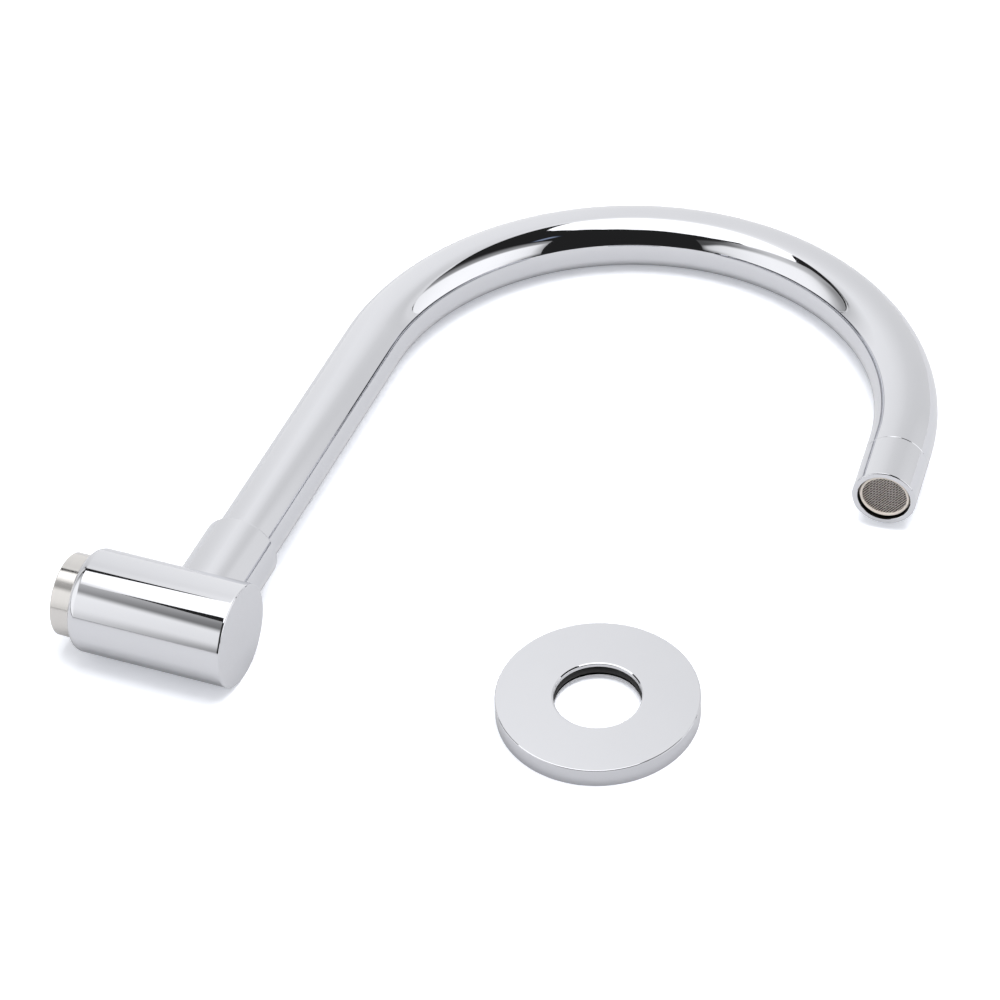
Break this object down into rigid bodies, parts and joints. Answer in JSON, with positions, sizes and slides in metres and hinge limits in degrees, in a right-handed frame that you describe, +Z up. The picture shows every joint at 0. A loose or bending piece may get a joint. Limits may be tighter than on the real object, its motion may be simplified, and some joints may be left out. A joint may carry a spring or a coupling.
{
  "type": "swivelling gooseneck wall spout",
  "caption": "Wall-mounted gooseneck spout: a cylindrical inlet hub, a side collar, a swivelling bent tube with an aerator at its outlet, and a loose round wall flange.",
  "frame": {"origin": "middle of the whole part's footprint, on the surface that it lies on", "axes": "+Z up from that surface; +X along the hub from the inlet neck to the closed front face; +Y along the collar and the straight of the gooseneck, away from the hub"},
  "size_m": [0.2862, 0.3164, 0.04],
  "materials": {
    "chrome": "polished chrome plate",
    "nickel": "turned, thin nickel plate",
    "brass": "turned",
    "steel": "woven or turned stainless steel",
    "black_rubber": "moulded rubber",
    "cream_plastic": "moulded, satin",
    "white_plastic": "moulded, satin",
    "grey_foam": "closed-cell foam"
  },
  "bodies": {
    "hub": {"hub_body": "chrome", "collar": "chrome", "inlet_adapter": "nickel", "adapter_o_ring": "black_rubber", "inlet_washer": "black_rubber", "slip_washer": "white_plastic", "retaining_screw": "steel"},
    "spout": {"spout_foot": "brass", "foot_o_ring_lower": "black_rubber", "foot_o_ring_upper": "black_rubber", "slip_ring": "white_plastic", "gooseneck_tube": "chrome", "nozzle_sleeve": "chrome", "aerator_shell": "cream_plastic", "aerator_outlet_mesh": "steel", "aerator_spacer": "white_plastic", "aerator_inner_mesh": "steel", "aerator_sleeve": "white_plastic", "aerator_jet_disc": "white_plastic", "aerator_strainer": "white_plastic", "aerator_washer": "black_rubber"},
    "flange": {"wall_flange": "chrome", "flange_o_ring": "black_rubber", "flange_gasket": "grey_foam"}
  },
  "joints": [
    {"name": "spout_swivel", "type": "hinge", "parent": "hub", "child": "spout", "pos_m": [-0.09164, -0.1382, 0.02], "axis": [0, 0.9997, -0.0264], "range_deg": [-90, 90]},
    {"name": "flange_lift", "type": "slide", "parent": "hub", "child": "flange", "axis": [0, 0, 1], "range_m": [0, 0.1]}
  ]
}
